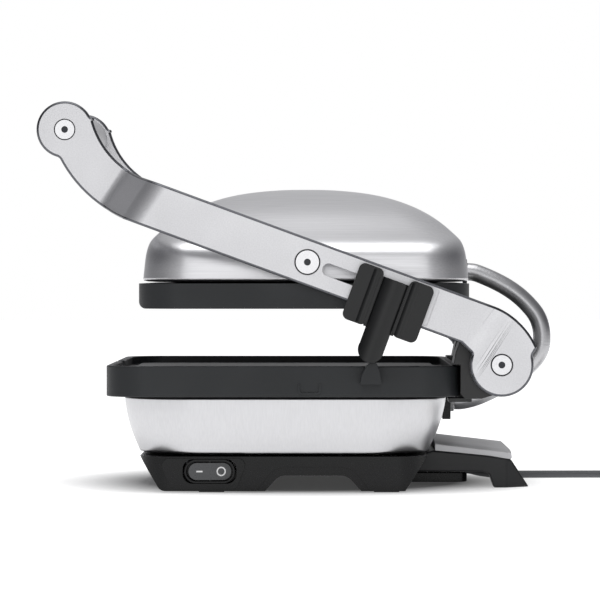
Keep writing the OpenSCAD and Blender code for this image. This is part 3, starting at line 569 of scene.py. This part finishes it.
for node in ("arm_right", "arm_left"):
    keep(node, satin_aluminium, 1.7, 3, painted_shade_edge, 32, on_outline)
keep("handle_grip", satin_aluminium, 0.6)
keep("grip_rod", plain_steel, 0)
keep("hinge_shaft", plain_steel, 0)
caps = (("hinge_caps", HINGE, 7.2), ("grip_screws", GRIP, 7.2), ("pivot_caps", PIVOT, 7.5))
for node, centre, inner_r in caps:
    cap = keep(node, turned_aluminium, 0.8, 2, cap_painted_shade, 32, lambda m, c=centre, r=inner_r: far_from(m, c, r))
    for face in cap.data.polygons:     # painted shade: the socket's faces take the dark ring material
        corners = [cap.data.vertices[v].co / MM for v in face.vertices]
        face.material_index = 0 if any(far_from(v, centre, SOCKET_R) for v in corners) else 1
print("arms done")

# %% [markdown]
# ## Plates, tray, tail and small pieces
# Cast and moulded pieces have larger or smaller edge rounds: about 1 mm on a casting, half that on a
# thin moulding.

# %% Cast and moulded pieces
keep("upper_plate", non_stick, 0.5, 2, degrees=14, merge_flats=False)
keep("lower_plate", non_stick, 1.2, 3)
keep("slider_rest", non_stick, 0.6)
keep("lock_mark", non_stick, 0.2)
keep("base_tray", tray_plastic, 1.0, 3)
keep("tail_body", tail_plastic, 1.2, 3)
keep("tail_cover", silver_paint, 0.3)
keep("hinge_frame", black_paint, 1.2, 3)
keep("height_slider", slider_plastic, 0.7, 3)
keep("switch_bezel", tray_plastic, 0.3)
keep("rocker", rocker_plastic, 0.5, 3)
keep("rubber_feet", rubber, 0.4)
keep("cord_cleats", tray_plastic, 0.6)
keep("lower_gland_plate", tray_plastic, 0.8)
keep("lower_gland", silver_paint, 0.5)
keep("upper_gland", tail_plastic, 0.5)
print("castings and mouldings done")

# %% Inner pieces
for node, material in {
    "lower_element": plain_steel, "upper_element": plain_steel, "lower_heat_shield": sheet_aluminium,
    "upper_heat_shield": sheet_aluminium, "lower_thermostat": ceramic, "upper_thermostat": ceramic,
    "terminal_block": ceramic, "housing_screws": plain_steel, "hinge_bushes": sintered_bronze,
    "switch_body": tray_plastic, "head_frame": plain_steel, "pivot_studs": plain_steel,
    "slider_key": plain_steel,
}.items():
    mesh = frame["nodes"][node].data
    mesh.materials.clear()
    mesh.materials.append(material)
    smooth(frame["nodes"][node])
print("inner pieces have their finishes")

# %% [markdown]
# ## The conduit
# The lid's wires run in a close-wound steel hose, which bends as the lid opens and as the arms come down.
# It is made in three lengths that meet ring to ring, split where a hinge joins two bodies; the lengths are
# not attached to those bodies. The hose is a circle extruded along its route. Its groove, every 2.4 mm, is
# so shallow that the hose looks nearly smooth.

# %% Helper: a swept tube
def swept(name, points, radii, material, sides=24):
    """A circle extruded from point to point. points in metres, radii in mm."""
    bm = bmesh.new()
    made = bmesh.ops.create_circle(bm, cap_ends=False, radius=1.0, segments=sides)["verts"]
    ring_edges = bm.edges[:]
    verts = made
    last = None
    for i, (p, r) in enumerate(zip(points, radii)):
        along = (points[min(i + 1, len(points) - 1)] - points[max(i - 1, 0)]).normalized()
        turn = Matrix.Rotation(math.atan2(-along.y, along.z), 4, "X")
        m = Matrix.Translation(p) @ turn @ Matrix.Diagonal((r * MM, r * MM, 1, 1))
        if i:
            grown = bmesh.ops.extrude_edge_only(bm, edges=ring_edges)["geom"]
            verts = [g for g in grown if isinstance(g, bmesh.types.BMVert)]
            ring_edges = [g for g in grown if isinstance(g, bmesh.types.BMEdge)]
            m = m @ last.inverted()
        bmesh.ops.transform(bm, matrix=m, verts=verts)
        last = Matrix.Translation(p) @ turn @ Matrix.Diagonal((r * MM, r * MM, 1, 1))
    bmesh.ops.holes_fill(bm, edges=[e for e in bm.edges if e.is_boundary], sides=0)
    obj = object_from(bm, name, material)
    smooth(obj, 60)
    return obj


hose_route = [
    (115.0, 60), (119.5, 60), (124, 60.8), (130, 62.4), (138, 65.6), (146, 69.6), (155, 74.8), (164, 81),
    (171, 87), (176.4, 93.4), (179.4, 100.4), (180, 108), (179, 116), (175.8, 124), (170, 131.4),
    (162.6, 138.4), (154.4, 144.2), (145.6, 149), (137.6, 152.6), (130, 155.4), (124.2, 156),
]


def spline_through(points, t):
    """A smooth curve through the points, at t from 0 to 1 less than their number."""
    i = min(int(t), len(points) - 2)
    f = t - i
    a, b, c, d = (points[max(0, min(len(points) - 1, i + k))] for k in (-1, 0, 1, 2))
    bend, twist = 2 * a - 5 * b + 4 * c - d, 3 * b - a - 3 * c + d
    return 0.5 * (2 * b + (c - a) * f + bend * f * f + twist * f ** 3)


coarse = [Vector((0, y, z)) * MM for y, z in hose_route]
fine = [spline_through(coarse, k / 40) for k in range(40 * (len(coarse) - 1) + 1)]
walked = [0.0]
for a, b in zip(fine, fine[1:]):
    walked.append(walked[-1] + (b - a).length)
PITCH = 2.4 * MM
rings = []
step = walked[-1] / round(walked[-1] / (PITCH / 4))
k = 0
while k * step < walked[-1] + 1e-9:
    j = next(n for n, w in enumerate(walked) if w >= k * step - 1e-9)
    rings.append(fine[j])
    k += 1
HOSE_R, GROOVE_MM = 6.5, 0.03
radii = [HOSE_R - (GROOVE_MM if i % 4 == 0 else 0.0) for i in range(len(rings))]
print("hose:", round(walked[-1], 3), "m in", len(rings), "rings")

# %% The conduit in three lengths
def nearest(y, z):
    return min(range(len(rings)), key=lambda i: (rings[i] - Vector((0, y * MM, z * MM))).length)


first, second = nearest(179.6, 102), nearest(162.6, 138.4)
for name, lo, hi, a, b in (
    ("conduit_lower", 0, first, "base", "shaft"),
    ("conduit_rear", first, second, "shaft", "arms"),
    ("conduit_upper", second, len(rings) - 1, "arms", "head"),
):
    length_of = swept(name, rings[lo:hi + 1], radii[lo:hi + 1], conduit_steel)
    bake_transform(length_of)
    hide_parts("conduit")
print("conduit done")

# %% [markdown]
# ## Strain relief
# Where the cord leaves the tray it is gripped by a tapered rubber sleeve with ribs, so it can't be bent
# sharply. It is the same swept tube with its radius going up and down as it narrows.

# %% Strain relief
relief_y = [76 + 0.8 * i for i in range(51)]
relief_r = []
for i, y in enumerate(relief_y):
    t = (y - 92) / 24.4               # the share of the tapered stretch behind the tray
    groove = 0.5 if (i // 2) % 2 and 0.15 < t < 0.9 else 0.0
    relief_r.append(4.4 if t < 0 else 5.3 - 1.7 * t - groove)
sleeve = swept("strain_relief_sleeve", [Vector((-38, y, 7)) * MM for y in relief_y], relief_r, rubber)
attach(sleeve, "base")
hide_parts("strain_relief")
print("strain relief:", len(relief_y), "rings")

# %% [markdown]
# ## Switch marks
# The rocker carries the two standard marks of a mains switch, printed white: a bar for on and a ring
# for off. They sit 0.1 mm proud of its two leaning faces.

# %% Marks on the rocker
rocker_face = Matrix.Translation((126 * MM, -63 * MM, 15.2 * MM)) @ Matrix.Rotation(math.radians(2), 4, "Z")
bar = box_bm((6.45, -9.6, -0.55), (6.6, -5.2, 0.55))
bmesh.ops.transform(bar, matrix=rocker_face, verts=bar.verts)
bar = object_from(bar, "switch_mark_on", mark_white)
ring_bm = bmesh.new()
bmesh.ops.create_circle(ring_bm, cap_ends=False, radius=3.3 * MM, segments=40)
grown = bmesh.ops.extrude_edge_only(ring_bm, edges=ring_bm.edges[:])["geom"]
inner = [g for g in grown if isinstance(g, bmesh.types.BMVert)]
bmesh.ops.scale(ring_bm, vec=(0.72, 0.72, 1), verts=inner)
bmesh.ops.recalc_face_normals(ring_bm, faces=ring_bm.faces)
bmesh.ops.solidify(ring_bm, geom=ring_bm.faces[:], thickness=0.12 * MM)
lean = rocker_face @ Matrix.Translation((6.66 * MM, 0, 0)) @ Matrix.Rotation(math.radians(6), 4, "Z")
facing_out = Matrix.Translation((0, 8.0 * MM, 0)) @ Matrix.Rotation(math.pi / 2, 4, "Y")
bmesh.ops.transform(ring_bm, matrix=lean @ facing_out, verts=ring_bm.verts)
ring = object_from(ring_bm, "switch_mark_off", mark_white)
for mark in (bar, ring):
    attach(mark, "rocker")
print("marks done")

# %% [markdown]
# ## Studio
# A white table and soft light from above and from the right. The metals mirror the lamps, so large areas
# give them long soft highlights, and the dimmer room gives their rims a grey edge. The table glows less
# under the press, a painted shadow, and the lower housing's ends mirror that darker patch.

# %% Floor and lights
def card(name, size, matrix, glow):
    """A large white sheet of the studio, with a little light of its own, dimmed in an oval under the press as
    a painted shadow.
    """
    bm = bmesh.new()
    bmesh.ops.create_grid(bm, x_segments=1, y_segments=1, size=size)
    bmesh.ops.transform(bm, matrix=matrix, verts=bm.verts)
    white, tree, s = finish_of(name + "_white", "#c8c8c8", 0.9, Emission_Color=(1, 1, 1, 1))
    painted_shadow_oval = place(tree, (1 / 0.19, 1 / 0.21, 0))          # painted shadow: the glow is dimmed in an oval that ends 0.19 m and 0.21 m out
    out = add(tree, "VectorMath", {"operation": "LENGTH"}, links={"Vector": painted_shadow_oval}).outputs["Value"]
    tree.links.new(ramp(tree, out, 0.55, 1.0, 0.05, glow), s.inputs["Emission Strength"])
    mesh = bpy.data.meshes.new(name)
    bm.to_mesh(mesh)
    bm.free()
    mesh.materials.append(white)
    obj = bpy.data.objects.new(name, mesh)
    bpy.context.scene.collection.objects.link(obj)
    obj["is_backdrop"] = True
    return obj


floor = card("studio_floor", 8, Matrix.Identity(4), 0.9)

world = bpy.data.worlds.new("studio")
world.use_nodes = True
tree = world.node_tree
back = tree.nodes["Background"]
back.inputs["Strength"].default_value = 1.0
# the room: light to the right and overhead, dim in front and behind, white far on the left
towards = add(tree, "TexCoord").outputs["Generated"]
parts = add(tree, "SeparateXYZ", links={"Vector": towards})
side = ramp(tree, parts.outputs["Y"], 0.1, 0.95, 1.0, 0.0)
side_front = ramp(tree, parts.outputs["Y"], -0.95, -0.1, 0.0, 1.0)
both_sides = add(tree, "Math", {"operation": "MULTIPLY"})
tree.links.new(side, both_sides.inputs[0])
tree.links.new(side_front, both_sides.inputs[1])
room = add(tree, "ValToRGB", links={"Fac": both_sides.outputs[0]})
room.color_ramp.elements[0].color = (0.09, 0.09, 0.1, 1)
room.color_ramp.elements[1].color = (0.62, 0.62, 0.63, 1)
seen = add(tree, "LightPath").outputs["Is Camera Ray"]
mix = add(tree, "Mix", {"data_type": "RGBA"}, {"Factor": seen, 6: room.outputs["Color"]})
mix.inputs[7].default_value = (1, 1, 1, 1)
tree.links.new(mix.outputs[2], back.inputs["Color"])
bpy.context.scene.world = world


def lamp(name, at, look_at, size, power):
    data = bpy.data.lights.new(name, "AREA")
    data.shape = "RECTANGLE"
    data.size, data.size_y = size
    data.energy = power
    obj = bpy.data.objects.new(name, data)
    bpy.context.scene.collection.objects.link(obj)
    obj.location = at
    obj.rotation_euler = (Vector(look_at) - Vector(at)).to_track_quat("-Z", "Y").to_euler()


lamp("overhead", (0.3, 0.0, 1.6), (0, 0, 0.1), (1.3, 1.5), 13)
lamp("right_side", (2.7, 0.0, 0.9), (0, 0, 0.2), (1.3, 1.6), 7)
print("studio ready")

# %% Colour handling and bounds
bpy.context.scene.view_settings.view_transform = "Standard"
visual_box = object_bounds()
for title, box in (("cad", cad_box), ("visual", visual_box)):
    print(title, [[round(c, 4) for c in v] for v in box])
